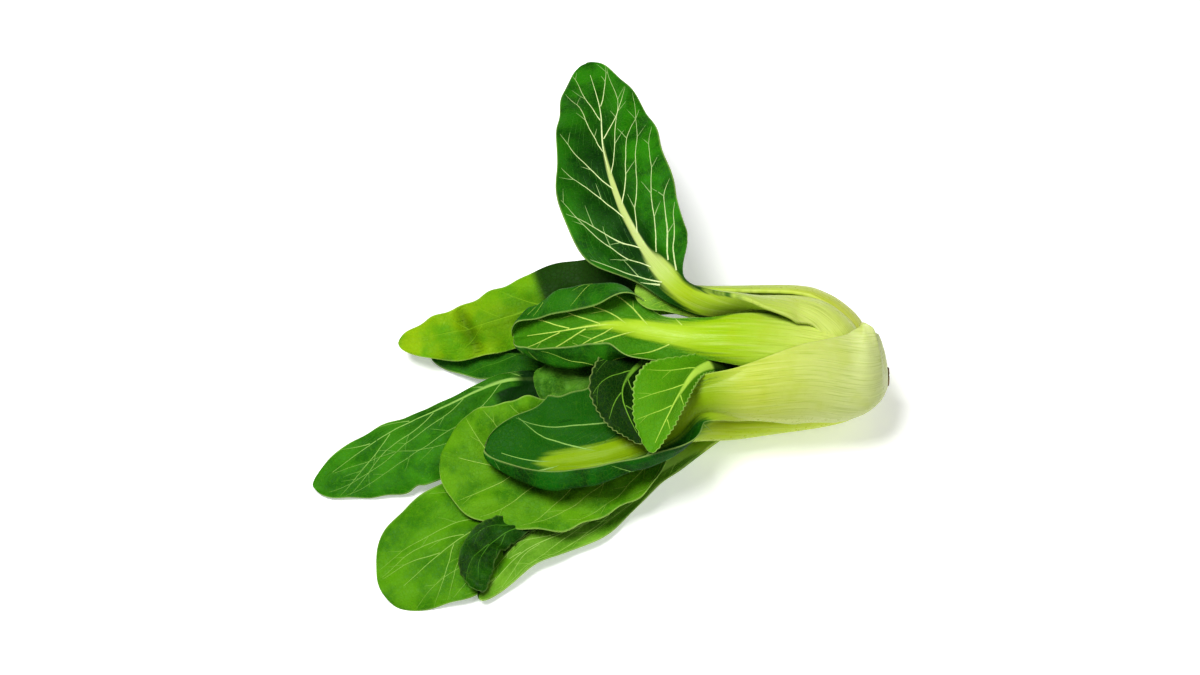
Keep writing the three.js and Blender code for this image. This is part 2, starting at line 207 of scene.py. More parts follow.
class Sheet:
    """A leaf's middle surface on a grid, by shares of its length and of its half-widths."""

    def __init__(self, leaf, rows):
        rows = np.pad(rows, ((0, 0), (0, ROW_VALUES - len(rows[0]))))
        lines, self.half_columns = leaf["grid"]
        fine = np.linspace(0, len(rows) - 1, STEPS_PER_ROW * len(rows))
        centre = rows_along(rows, fine)[:, :3]
        run = np.concatenate([[0], np.cumsum(np.linalg.norm(np.diff(centre, axis=0), axis=1))])
        self.leaf, self.neck, self.length = leaf, leaf["neck"], run[-1]
        self.shares = 1 - (1 - np.linspace(0, 1, lines)) ** TIP_CROWDING
        self.down = self.shares[:, None]
        self.onward = np.clip((self.down - self.neck) / (1 - self.neck), 0, 1)
        places = np.interp(self.shares * self.length, run, fine)
        reach = 0.01
        self.data = rows_along(rows, places)
        along = unit(rows_along(rows, places + reach)[:, :3] - rows_along(rows, places - reach)[:, :3])
        up = unit(np.array([0, 0, 1]) - along * along[:, 2:])
        sideways = np.cross(along, up)
        turn = np.radians(self.data[:, 3:4])
        self.inward = up * np.cos(turn) + sideways * np.sin(turn)
        self.right = sideways * np.cos(turn) - up * np.sin(turn)

        halves = zip(self.half(-1), self.half(1))
        self.middle, facing, self.across, self.at = (np.concatenate(pair, axis=1) for pair in halves)
        self.facing = unit(facing)
        self.along = np.broadcast_to(self.down * self.length, self.across.shape)
        self.width = np.where(self.at < 0, -self.across[:, :1], self.across[:, -1:])

    def half_width(self, side, turns, ripple):
        """Half-width of one side, rounded at the tip, uneven and toothed along the margin."""
        leaf, shares = self.leaf, self.shares
        rounding = np.clip((shares - leaf["closing"]) / (1 - leaf["closing"]), 0, 1)
        tip = np.maximum(TIP_BLUNTNESS, (1 - rounding**TIP_ROUNDNESS) ** (1 / TIP_ROUNDNESS))
        uneven = 0.6 * np.sin(1.3 * turns + side * 2) + 0.4 * np.sin(2.7 * turns + side)
        width = self.data[:, 4 + (side > 0)] * tip * (1 + MARGIN_UNEVENNESS * uneven * ripple)
        depth, pitch = leaf["teeth"]
        saw = np.abs(((shares * self.length / pitch + side * 0.25) % 1) - 0.5) * 2
        return np.maximum(width + depth * (saw - 0.5) * ripple * smooth(width, 0, 4), NARROWEST)

    def half(self, side):
        """Points, facings, distances across and half-width shares of one side, left to right."""
        height, number, start = self.leaf["waves"]
        turns = 2 * np.pi * number * self.shares + start
        ripple = smooth(self.shares, self.neck, self.neck + 0.15)
        width = self.half_width(side, turns, ripple)[:, None]
        curl = np.radians(self.data[:, 6 + (side > 0)])[:, None]
        fold = np.radians(self.data[:, 8 + (side > 0)])[:, None]

        at = np.linspace(0, 1, self.half_columns + 1)
        columns = at[1:] - 0.5 / self.half_columns
        heading = curl * columns + fold * smooth(columns, FOLD_FROM, FOLD_TO)
        step = width / self.half_columns
        out = np.pad(np.cumsum(np.cos(heading) * step, axis=1), ((0, 0), (1, 0)))
        lift = np.pad(np.cumsum(np.sin(heading) * step, axis=1), ((0, 0), (1, 0)))
        wave = height * (0.7 * np.sin(turns + side * 1.1) + 0.3 * np.sin(1.8 * turns + side * 2.3))
        frill = self.leaf["frill"] * np.sin(3.1 * turns + side)
        lift = lift + ripple[:, None] * (wave[:, None] * at**2 + frill[:, None] * at**5)
        angle = curl * at + fold * smooth(at, FOLD_FROM, FOLD_TO)

        inward, right = self.inward[:, None], side * self.right[:, None]
        point = self.data[:, None, :3] + right * out[..., None] + inward * lift[..., None]
        face = inward * np.cos(angle)[..., None] - right * np.sin(angle)[..., None]
        order = slice(None, None, -1) if side < 0 else slice(1, None)
        ats = np.broadcast_to(side * at, point.shape[:2])
        return point[:, order], face[:, order], (side * at * width)[:, order], ats[:, order]

    def thickness(self):
        into = smooth(self.down, self.neck - 0.06, self.neck + 0.1)
        taper = 1 - MIDRIB_THINNING * smooth(self.down, self.neck, 1)
        middle = (self.leaf["stalk"] + (MIDRIB_THICK - self.leaf["stalk"]) * into) * taper
        edge = STALK_EDGE + (BLADE_THICK - STALK_EDGE) * into
        rib = self.width + (MIDRIB_HALF * taper - self.width) * into
        bulge = np.maximum(0, 1 - (self.across / rib) ** 2)
        return edge + np.maximum(0, middle - edge) * bulge

    def edge(self, side):
        return self.width[:, -1] if side > 0 else self.width[:, 0]

    def read(self, grid, shares, ats):
        """A grid's values at shares of the length and of the half-widths."""
        line = np.interp(shares, self.shares, np.arange(len(self.shares)))
        column = (np.asarray(ats) + 1) * self.half_columns
        i = np.clip(line.astype(int), 0, grid.shape[0] - 2)
        j = np.clip(column.astype(int), 0, grid.shape[1] - 2)
        f, g = (line - i)[:, None], (column - j)[:, None]
        near = grid[i, j] * (1 - g) + grid[i, j + 1] * g
        far = grid[i + 1, j] * (1 - g) + grid[i + 1, j + 1] * g
        return near * (1 - f) + far * f


VEIN_STEP = 1.6
VEIN_WOBBLE = 2.2
VEIN_BEND = -0.1
FORK_SPREAD = (22, 38)
FORK_REACH = (4, 10)
MARGIN_STOP, TIP_STOP = 0.95, 0.985
LAST_VEIN = 0.93
WIDE_FAN = 0.2
FAN_CLOSES = 2.6
CROSS_VEIN = 0.04
CROSS_POINTS = 7
RIB_POINTS = 60


def grow_vein(sheet, draw, side, place, heading, bend, size, forks, paths, rank=1.0, reach=math.inf):
    """One side vein: it walks off in short steps, zigzags, sends out forks and stops at the margin."""
    along, across = place
    angle = math.radians(heading)
    trail = [(along, across)]
    until_fork = draw.uniform(8, 18)
    turn_out = draw.choice((-1, 1))
    while len(trail) * VEIN_STEP < reach:
        angle += math.radians(bend * VEIN_STEP + draw.normal(0, VEIN_WOBBLE))
        along += VEIN_STEP * math.cos(angle)
        across += VEIN_STEP * math.sin(angle)
        limit = np.interp(along / sheet.length, sheet.shares, sheet.edge(side))
        if across > MARGIN_STOP * limit or along > TIP_STOP * sheet.length or across < 0.5:
            break
        trail.append((along, across))
        until_fork -= VEIN_STEP
        if until_fork < 0 and forks and size > 0.1:
            spread = draw.uniform(*FORK_SPREAD) * turn_out
            grow_vein(
                sheet, draw, side, (along, across), math.degrees(angle) + spread, bend * 0.6,
                size * 0.5, forks - 1, paths, rank * 0.55, draw.uniform(*FORK_REACH),
            )
            angle -= math.radians(spread * 0.16)
            size *= 0.86
            turn_out = -turn_out
            until_fork = draw.uniform(9, 20)
    if len(trail) < 4:
        return
    trail = np.array(trail)
    share = trail[:, 0] / sheet.length
    width = np.interp(share, sheet.shares, sheet.edge(side))
    t = np.linspace(0, 1, len(trail))
    paths.append((share, side * trail[:, 1] / width, size * (1 - t) ** 0.6 * 1.1 + 0.07, rank))


def side_veins(sheet, draw, side, paths):
    """Adds one side's veins and their forks to the paths, and returns the main ones."""
    leaf, neck, mains = sheet.leaf, sheet.neck, []
    count, (from_angle, to_angle) = leaf["veins"], leaf["heading"]
    for k in range(count):
        rank = k / count
        first = max(0, 1 - FAN_CLOSES * rank)
        onward = ((k + 0.5 * (side > 0)) / count) ** leaf["crowded"]
        start = neck - 0.02 + (LAST_VEIN - neck) * onward + draw.uniform(-0.008, 0.008)
        if leaf["fan"] > WIDE_FAN:
            start -= leaf["early"] * first
        wide = np.interp(start, sheet.shares, sheet.edge(side))
        rib = leaf["midrib"] * (1 - rank) ** 2
        out = min(0.35 * rib, 0.7 * wide) + leaf["fan"] * wide * first + 0.5
        lead = from_angle + (to_angle - from_angle) * rank + draw.uniform(-4, 4)
        thick = leaf["vein_size"] * (0.5 - 0.26 * rank)
        have = len(paths)
        place = (start * sheet.length, out)
        grow_vein(sheet, draw, side, place, lead, VEIN_BEND, thick, leaf["forks"], paths)
        if len(paths) > have:
            mains.append(paths[-1])
    return mains


def cross_vein(draw, low, high, where):
    """A thread from one side vein to the next, starting at a share of the first one."""
    a, b = where + draw.uniform(-0.04, 0.04), where + draw.uniform(-0.1, 0.04)
    t_low, t_high = np.linspace(0, 1, len(low[0])), np.linspace(0, 1, len(high[0]))
    s0, a0 = np.interp(a, t_low, low[0]), np.interp(a, t_low, low[1])
    s1, a1 = np.interp(b, t_high, high[0]), np.interp(b, t_high, high[1])
    u = np.linspace(0, 1, CROSS_POINTS)
    sag = 0.008 * np.cumsum(draw.uniform(-1, 1, CROSS_POINTS)) * np.sin(np.pi * u)
    return s0 + (s1 - s0) * u + sag, a0 + (a1 - a0) * u - sag, np.full(CROSS_POINTS, CROSS_VEIN), 0.1


def vein_paths(sheet, draw):
    """Side veins, forks, cross veins and the midrib: places by shares, radii in mm and rank."""
    paths = []
    for side in (-1, 1):
        mains = side_veins(sheet, draw, side, paths)
        for low, high in zip(mains, mains[1:]):
            paths += [cross_vein(draw, low, high, where) for where in np.arange(0.15, 0.95, 0.11)]
    t = np.linspace(0, 1, RIB_POINTS)
    rib_share = sheet.neck + 0.08 + (0.96 - sheet.neck - 0.08) * t
    rib_size = sheet.leaf["vein_size"] * 0.75 * (1 - t) ** 0.9 + 0.12
    paths.append((rib_share, 0.004 * np.sin(9 * t), rib_size, 1.5))
    return paths


def add_values(mesh, key, values):
    layer = mesh.attributes.new(key, "FLOAT", "POINT")
    layer.data.foreach_set("value", np.asarray(values, np.float32))


def quads(grid):
    """The four-sided faces of a grid of point numbers."""
    return np.stack([grid[:-1, :-1], grid[:-1, 1:], grid[1:, 1:], grid[1:, :-1]], -1).reshape(-1, 4)


def leaf_body(name, inner, outer, fields, finish):
    """Both faces joined round the margin into one closed body, with its fields as attributes."""
    lines, columns = inner.shape[:2]
    top = np.arange(lines * columns).reshape(lines, columns)
    under = top + lines * columns
    sides = [
        quads(top),
        quads(under)[:, [0, 3, 2, 1]],
        quads(np.stack([top[:, 0], under[:, 0]])),
        quads(np.stack([under[:, -1], top[:, -1]])),
        quads(np.stack([top[0], under[0]], -1)),
        quads(np.stack([top[-1], under[-1]])),
    ]
    faces = np.concatenate(sides)
    points = (np.concatenate([inner.reshape(-1, 3), outer.reshape(-1, 3)]) + HEAD_SHIFT) * MM
    points[:, 2] = np.maximum(points[:, 2], 0)
    mesh = bpy.data.meshes.new(name)
    mesh.from_pydata(points.tolist(), [], faces.tolist())
    flat_from = len(faces) - len(sides[4]) - len(sides[5])
    mesh.polygons.foreach_set("use_smooth", np.arange(len(faces)) < flat_from)
    for key, grid in fields.items():
        add_values(mesh, key, np.tile(grid.reshape(-1), 2))
    add_values(mesh, "inner", np.repeat([1.0, 0.0], lines * columns))
    corner = np.zeros(len(mesh.loops), np.int32)
    mesh.loops.foreach_get("vertex_index", corner)
    side_of = corner // (lines * columns)
    line, column = np.divmod(corner % (lines * columns), columns)
    bake = mesh.uv_layers.new(name="OFBake")
    spread = [0.01 + 0.48 * column / (columns - 1) + 0.5 * side_of, 0.01 + 0.98 * line / (lines - 1)]
    bake.data.foreach_set("uv", np.stack(spread, -1).astype(np.float32).reshape(-1))
    mesh.materials.append(finish)
    return place_object(name, mesh)


def node(tree, kind, values, **settings):
    """A new node's outputs, with its inputs filled and its settings made."""
    made = tree.nodes.new(kind)
    for key, value in settings.items():
        setattr(made, key, value)
    fill(tree, made, values)
    return made.outputs


def vein_tree():
    """Turns lines of points into fine round cords that follow each point's radius."""
    tree = bpy.data.node_groups.new("leaf veins", "GeometryNodeTree")
    for name, kind in (("Lines", "Geometry"), ("Sides", "Int"), ("Finish", "Material")):
        tree.interface.new_socket(name, in_out="INPUT", socket_type="NodeSocket" + kind)
    tree.interface.new_socket("Veins", in_out="OUTPUT", socket_type="NodeSocketGeometry")
    start = node(tree, "NodeGroupInput", {})
    curve = node(tree, "GeometryNodeMeshToCurve", {"Mesh": start["Lines"]})[0]
    ring = node(tree, "GeometryNodeCurvePrimitiveCircle", {"Resolution": start["Sides"], "Radius": 1})[0]
    radius = node(tree, "GeometryNodeInputNamedAttribute", {"Name": "radius"}, data_type="FLOAT")[0]
    sweep = {"Curve": curve, "Profile Curve": ring, "Scale": radius, "Fill Caps": True}
    cord = node(tree, "GeometryNodeCurveToMesh", sweep)[0]
    real = node(tree, "GeometryNodeRealizeInstances", {"Geometry": cord})[0]
    veins = node(tree, "GeometryNodeSetMaterial", {"Geometry": real, "Material": start["Finish"]})[0]
    node(tree, "NodeGroupOutput", {"Veins": veins})
    return tree


VEIN_TREE = vein_tree()
VEIN_SOCKETS = {item.name: item.identifier for item in VEIN_TREE.interface.items_tree}
VEIN_SIDES = 5
INNER_VEINS, OUTER_VEINS = 0.75, 1.15


def lay_veins(name, sheet, inner, outer, green, paths, finish):
    """Raised veins on both faces of a blade, half sunk in it."""
    places, radii, pale, edges = [], [], [], []
    for face, sign, boost in ((inner, 1, INNER_VEINS), (outer, -1, OUTER_VEINS)):
        for share, at, radius, rank in paths:
            shown = sheet.read(green[..., None], share, at)[:, 0]
            size = radius * boost * smooth(shown, 0.05, 0.5) + 0.02
            depth = size * 0.4 + 0.2 * (1 - smooth(shown, 0, 0.12))
            sunk = sheet.read(face, share, at) - sign * sheet.read(sheet.facing, share, at) * depth[:, None]
            sunk = (sunk + HEAD_SHIFT) * MM
            sunk[:, 2] = np.maximum(sunk[:, 2], size * MM)
            start = sum(len(p) for p in places)
            edges += [(start + k, start + k + 1) for k in range(len(share) - 1)]
            places.append(sunk)
            radii.append(size * MM)
            pale.append(1 - shown * (1 - np.clip(rank * (1 - 0.45 * np.abs(at)), 0, 1)))
    lines = bpy.data.meshes.new(name + " lines")
    lines.from_pydata(np.concatenate(places).tolist(), edges, [])
    add_values(lines, "radius", np.concatenate(radii))
    add_values(lines, "pale", np.concatenate(pale))
    holder = place_object(name + " lines", lines)
    maker = holder.modifiers.new("veins", "NODES")
    maker.node_group = VEIN_TREE
    maker[VEIN_SOCKETS["Sides"]] = VEIN_SIDES
    maker[VEIN_SOCKETS["Finish"]] = finish
    mesh = bpy.data.meshes.new_from_object(holder.evaluated_get(bpy.context.evaluated_depsgraph_get()))
    mesh.name = name
    mesh.shade_smooth()
    bpy.data.objects.remove(holder)
    return place_object(name, mesh)


def nearest(sheet, paths):
    """How far each grid point lies from a main side vein, in mm on the flattened leaf."""
    gap = np.full(sheet.across.shape, 99.0)
    for share, at, _, rank in paths:
        if rank != 1:
            continue
        x = share * sheet.length
        y = sheet.read(sheet.across[..., None], share, at)[:, 0]
        for x0, y0, x1, y1 in zip(x, y, x[1:], y[1:]):
            dx, dy = x1 - x0, y1 - y0
            f = ((sheet.along - x0) * dx + (sheet.across - y0) * dy) / (dx * dx + dy * dy + 1e-9)
            f = np.clip(f, 0, 1)
            np.minimum(gap, np.hypot(sheet.along - x0 - f * dx, sheet.across - y0 - f * dy), out=gap)
    return gap


def green_share(sheet):
    """How green a leaf is, 0 to 1: all of it past the neck, apart from its pale midrib."""
    leaf, neck = sheet.leaf, sheet.neck
    midrib = leaf["midrib"] * (1 - sheet.onward) ** leaf["rib_taper"] + 0.35
    fade = 1 - leaf["rib_fade"] * smooth(sheet.onward, *leaf["rib_out"])
    draw_in = smooth(sheet.down, neck + leaf["narrow"][0], neck + leaf["narrow"][1])
    pale_half = sheet.width * 1.2 + (midrib - sheet.width * 1.2) * draw_in
    lobes = np.where(sheet.at < 0, *leaf["lobe"]) * sheet.at**2
    zone = smooth(sheet.down - leaf["green_later"] + lobes, neck - 0.03, neck + 0.04)
    return zone * (1 - fade * np.exp(-((sheet.across / pale_half) ** 2)))


SWELL_WAVES = 7


def swelling(sheet, draw, gap, blade, green):
    """How far a blade stands up between its veins and in broad waves, less its creases, in mm, and the
    painted shade in its creases.
    """
    leaf = sheet.leaf
    puff = leaf["puff"] * smooth(gap, 0, 4.5) * blade * green * (1 - smooth(np.abs(sheet.at), 0.85, 1))
    swell = np.zeros(gap.shape)
    for _ in range(SWELL_WAVES):
        turn, shift = draw.uniform(0, np.pi), draw.uniform(0, 6.28)
        wave = draw.uniform(*leaf["swell_size"])
        way = sheet.along * math.cos(turn) + sheet.across * math.sin(turn)
        swell += leaf["swell"] * np.sin(2 * np.pi * way / wave + shift) * blade * green
    crease_shade = np.zeros(gap.shape)
    for place, width, depth in leaf["dents"]:
        dent = np.exp(-(((sheet.down - place - 0.01 * sheet.at) / width) ** 2)) * (1 - sheet.at**4)
        swell -= depth * dent
        # Each crease is also painted darker, as shade.
        crease_shade += 0.5 * dent
    return puff + swell, crease_shade


RIB_HEIGHT = 0.07
RIB_PITCH, FINE_RIB_PITCH = 3.1, 1.3


def stalk_ribs(sheet, blade):
    """Uneven ribs that run along the back of a stalk, in mm."""
    spread = sheet.at * np.median(sheet.width)
    phase = 1.6 * np.sin(spread / 3.7) + 1.1 * np.sin(spread / 2.3 + 2)
    groove = 0.5 + 0.5 * np.cos(2 * np.pi * spread / RIB_PITCH + phase)
    groove += 0.3 + 0.3 * np.cos(2 * np.pi * spread / FINE_RIB_PITCH + 2 * phase)
    return RIB_HEIGHT * groove * (1 - blade)


def painted_shade_share(sheet):
    """Where a leaf is painted dark as shade under the leaves above it and along a shaded right margin, 0 to
    1.
    """
    leaf, down = sheet.leaf, sheet.down
    shade_from, shade_to, shade_left = leaf["painted_shade"]
    past_end = down - np.where(sheet.at < -0.15, shade_left, shade_to)
    painted_shade = smooth(down, shade_from, shade_from + 0.03) * (1 - smooth(past_end, -0.02, 0))
    # Painted shade along the right margin, where it lies beside another leaf.
    margin = smooth(sheet.at, leaf["under"], leaf["under"] + 0.2) * smooth(down, 0.6, 0.7)
    return np.maximum(painted_shade, margin)


def finish_fields(sheet, gap, blade, green, dark):
    """What a leaf's finish reads at each point: shares from 0 to 1, and places in units of 10 cm."""
    leaf = sheet.leaf
    rim = sheet.width * (1 - np.abs(sheet.at))
    beside_rib = 1 - smooth(np.abs(sheet.across), 2, np.where(sheet.at < 0, *leaf["rib_shade_reach"]))
    return {
        "green": green,
        "glow": np.exp(-((gap / 1.1) ** 2)) * blade * (1 - 0.75 * smooth(np.abs(sheet.at), 0.3, 1)),
        "margin": (1 - smooth(rim, 0.1, 0.6)) * blade * leaf["rim"],
        "lip": (1 - smooth(rim, 0.1, 0.8)) * (1 - blade),
        "painted_shade": dark,
        # Painted shade beside the midrib, fading toward the tip.
        "rib_shade": leaf["rib_shade"] * beside_rib * (1 - smooth(sheet.onward, 0.5, 0.9)),
        "sun": np.broadcast_to(leaf["sun"] * smooth(sheet.down, 0.72, 0.92), gap.shape),
        "share": np.broadcast_to(sheet.down, gap.shape),
        "across": sheet.across * 0.01,
        "along": sheet.along * 0.01,
    }


def grow_leaf(name, leaf, rows):
    """A leaf's ribbed stalk, its blade puffed up between the veins, and the veins themselves."""
    draw = np.random.default_rng(leaf["seed"])
    sheet = Sheet(leaf, rows)
    paths = vein_paths(sheet, draw)
    gap = nearest(sheet, paths)
    blade = smooth(sheet.down, sheet.neck - 0.02, sheet.neck + 0.08)
    green = green_share(sheet)
    raised, crease_shade = swelling(sheet, draw, gap, blade, green)
    half = sheet.thickness() / 2
    inner = sheet.middle + sheet.facing * (half + raised)[..., None]
    outer = sheet.middle - sheet.facing * (half + stalk_ribs(sheet, blade) - raised)[..., None]
    # Painted shade under the leaves above, which also sinks the veins there out of sight.
    painted_shade = painted_shade_share(sheet)
    fields = finish_fields(sheet, gap, blade, green, np.maximum(painted_shade, crease_shade))
    title = name.replace("_", " ")
    body = leaf_body(name, inner, outer, fields, leaf_finish(title, leaf))
    threads = vein_finish(title + " veins", leaf)
    veins = lay_veins(name + "_veins", sheet, inner, outer, green * (1 - painted_shade), paths, threads)
    return body, veins


def mix(tree, share, low, high):
    return node(tree, "ShaderNodeMix", {0: share, 6: low, 7: high}, data_type="RGBA")[2]


def times(tree, a, b):
    return node(tree, "ShaderNodeMath", {0: a, 1: b}, operation="MULTIPLY")[0]


def plus(tree, a, b):
    return node(tree, "ShaderNodeMath", {0: a, 1: b}, operation="ADD")[0]


def between(tree, value, low, high, to_low=0, to_high=1, ease="SMOOTHSTEP"):
    values = {0: value, 1: low, 2: high, 3: to_low, 4: to_high}
    return node(tree, "ShaderNodeMapRange", values, interpolation_type=ease)[0]


def noise(tree, where, scale, detail, roughness=0.5, output="Fac"):
    values = {"Vector": where, "Scale": scale, "Detail": detail, "Roughness": roughness}
    return node(tree, "ShaderNodeTexNoise", values)[output]


def cells(tree, where, scale):
    """How far each place lies from the edge of its cell, for a net of veins."""
    values = {"Vector": where, "Scale": scale}
    return node(tree, "ShaderNodeTexVoronoi", values, feature="DISTANCE_TO_EDGE")["Distance"]


def stretched(tree, where, scale):
    return node(tree, "ShaderNodeMapping", {"Vector": where, "Scale": scale})[0]


def attribute(tree, key):
    return node(tree, "ShaderNodeAttribute", {}, attribute_name=key)["Fac"]


def tint(red, green, blue):
    """A screen colour, 0 to 255, as the shader wants it."""
    shares = [value / 255 for value in (red, green, blue)]
    return (*(((s + 0.055) / 1.055) ** 2.4 if s > 0.04 else s / 12.92 for s in shares), 1)


PALE_STREAK = tint(222, 230, 150)
WARM_PATCH = tint(170, 186, 20)
GREEN_FIBRE = tint(136, 160, 24)
PALE_LIP = tint(228, 234, 180)
NET_GREEN = tint(150, 190, 20)
# The green of the painted shade beside the midrib.
RIB_SHADE_GREEN = tint(6, 44, 4)
SUN_YELLOW = tint(204, 208, 8)
PALE_SPECK = tint(200, 225, 150)
PALE_RIM = tint(196, 220, 130)
# The green of the painted shade under other leaves, in creases and along shaded margins.
PAINTED_SHADE_GREEN = tint(2, 42, 2)


def stalk_colour(tree, leaf, streaks, patches, fibres):
    """Pale at the root end and greener toward the neck, with streaks, warm patches and fibres."""
    share, neck = attribute(tree, "share"), leaf["neck"]
    stalk = mix(tree, between(tree, share, neck * 0.15, neck), tint(*leaf["base"]), tint(*leaf["stem"]))
    stalk = mix(tree, between(tree, streaks, 0.45, 0.75, 0, 0.3), stalk, PALE_STREAK)
    stalk = mix(tree, between(tree, patches, 0.45, 0.7, 0, 0.3), stalk, WARM_PATCH)
    stalk = mix(tree, between(tree, fibres, 0.5, 0.72, 0, 0.4), stalk, GREEN_FIBRE)
    stalk = mix(tree, times(tree, attribute(tree, "lip"), 0.1), stalk, PALE_LIP)
    return mix(tree, between(tree, share, neck - 0.04, neck + 0.1), stalk, tint(*leaf["rib"]))


def blade_colour(tree, leaf, flat, net, netting, patches, mottle):
    """A mottled green face and back under two nets of fine veins, with painted shade beside the midrib and
    pale specks.
    """
    light = tint(*leaf["light"])
    face = mix(tree, between(tree, patches, 0.35, 0.65), tint(*leaf["shade"]), light)
    face = mix(tree, between(tree, mottle, 0.45, 0.68, 0, 0.5), face, light)
    back = mix(tree, between(tree, mottle, 0.4, 0.7, 0, 0.5), tint(*leaf["back"]), light)
    blade = mix(tree, attribute(tree, "inner"), back, face)
    blade = mix(tree, between(tree, net[0], 0, 0.07, 0.3, 0), blade, netting)
    blade = mix(tree, between(tree, net[1], 0, 0.1, 0.2, 0), blade, netting)
    # Painted shade beside the midrib.
    blade = mix(tree, times(tree, attribute(tree, "rib_shade"), 0.55), blade, RIB_SHADE_GREEN)
    sun = times(tree, attribute(tree, "sun"), between(tree, patches, 0.35, 0.65))
    blade = mix(tree, sun, blade, SUN_YELLOW)
    specks = node(tree, "ShaderNodeTexVoronoi", {"Vector": flat, "Scale": 38.0})
    dots = between(tree, specks["Distance"], 0.03, 0.06, 0.55, 0)
    chosen = between(tree, specks["Color"], 0.66, 0.67)
    return mix(tree, times(tree, dots, chosen), blade, PALE_SPECK)


def leaf_finish(name, leaf):
    """A pale ribbed stalk running into a green blade with a vein net, mottling, a pale rim and painted
    shade.
    """
    material, tree, shader = new_material(name)
    across, along = attribute(tree, "across"), attribute(tree, "along")
    flat = node(tree, "ShaderNodeCombineXYZ", {0: across, 1: along})[0]
    streaks = noise(tree, stretched(tree, flat, (60, 2.2, 1)), 1, 4, 0.6)
    fibres = noise(tree, stretched(tree, flat, (220, 5, 1)), 1, 2)
    patches = noise(tree, flat, 7, 3)
    mottle = noise(tree, flat, 40, 5, 0.65)
    warp = noise(tree, flat, 60, 2, output="Color")
    nudge = node(tree, "ShaderNodeVectorMath", {0: warp, 3: 0.012}, operation="SCALE")[0]
    bent = node(tree, "ShaderNodeVectorMath", {0: flat, 1: nudge}, operation="ADD")[0]
    net = cells(tree, bent, 55), cells(tree, bent, 150)

    netting = mix(tree, 0.22, tint(*leaf["light"]), NET_GREEN)
    stalk = stalk_colour(tree, leaf, streaks, patches, fibres)
    blade = blade_colour(tree, leaf, flat, net, netting, patches, mottle)
    edge = between(tree, streaks, 0.3, 0.7, -0.12, 0.12)
    green = between(tree, plus(tree, attribute(tree, "green"), edge), 0.25, 0.7)
    whole = mix(tree, green, stalk, blade)
    whole = mix(tree, times(tree, attribute(tree, "glow"), 0.1), whole, netting)
    whole = mix(tree, times(tree, attribute(tree, "margin"), 0.38), whole, PALE_RIM)
    # Painted shade: darker where the leaf lies under others, in its creases and along a shaded margin.
    whole = mix(tree, times(tree, attribute(tree, "painted_shade"), 0.9), whole, PAINTED_SHADE_GREEN)

    rough = between(tree, mottle, 0.3, 0.75, 0.43, 0.6, "LINEAR")
    rough = plus(tree, rough, between(tree, green, 0, 1, -0.2, 0.06))
    relief = times(tree, between(tree, net[0], 0, 0.12), green)
    relief = plus(tree, relief, times(tree, mottle, 0.5))
    relief = plus(tree, relief, times(tree, fibres, between(tree, green, 0, 1, 1, 0)))
    bump = node(tree, "ShaderNodeBump", {"Height": relief, "Strength": 0.45, "Distance": 0.3 * MM})[0]
    fill(tree, shader, {"Base Color": whole, "Roughness": rough, "Normal": bump})
    fill(tree, shader, {"Subsurface Weight": 0.12, "Subsurface Radius": (0.6, 1.0, 0.2)})
    fill(tree, shader, {"Subsurface Scale": 2 * MM, "Specular IOR Level": 0.11})
    return material


def vein_finish(name, leaf):
    """Pale thread that turns the blade's green toward the ends of the veins."""
    material, tree, shader = new_material(name)
    grain = noise(tree, node(tree, "ShaderNodeTexCoord", {})["Object"], 900, 2)
    share = times(tree, attribute(tree, "pale"), between(tree, grain, 0.3, 0.7, 0.8, 1.1))
    colour = mix(tree, share, tint(*leaf["light"]), tint(*leaf.get("thread", leaf["rib"])))
    fill(tree, shader, {"Base Color": colour, "Roughness": 0.5, "Specular IOR Level": 0.15})
    return material


FRONT_ROWS = [
    (34.6, -9.2, 28.7, 92, 9, 5, 8, 10, 0, 0),
    (34.4, -12.2, 31.3, 97, 23.3, 5, 11, 20, 0, 0),
    (31.8, -18.5, 35.9, 108, 29.5, 7, 17, 30, 0, 0),
    (26.6, -22.6, 40, 118, 33, 14, 47, 48, 0, 0),
    (18, -24, 43, 123, 29, 21, 56, 60, 0, 0),
    (0, -25, 49, 123, 21, 22, 46, 46, 0, 0),
    (-26, -29, 51, 123, 14, 14, 34, 34, 0, 0),
    (-46, -31, 50, 130, 12, 10, 20, 15, 0, -40),
    (-60, -42, 46, 152, 20, 17, 8, 6, 0, -110),
    (-84, -49, 38, 164, 30, 19, 4, 6, 0, -155),
    (-114, -49, 30, 166, 29, 19, 0, 6, 0, -155),
    (-138, -40, 26, 166, 22, 13, 0, 0, 0, -120),
]
FRONT_LEAF = USUAL_LEAF | dict(
    seed=11, neck=0.39, closing=0.82, waves=(1.4, 4, 0),
    veins=3, heading=(26, 14), forks=0, fan=0.6,
    midrib=7, rib_taper=0.25, rib_fade=1, rib_out=(0.7, 0.88), narrow=(0.05, 0.14), green_later=0.07,
    base=(196, 206, 140), stem=(184, 198, 80), shade=(4, 50, 2), light=(14, 92, 4), back=(22, 88, 5),
    rib=(130, 162, 18), thread=(150, 190, 100),
)
body, veins = grow_leaf("front_leaf", FRONT_LEAF, FRONT_ROWS)
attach(body, "root")
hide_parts("front_leaf_stalk", "front_leaf_blade")
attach(veins, "root")


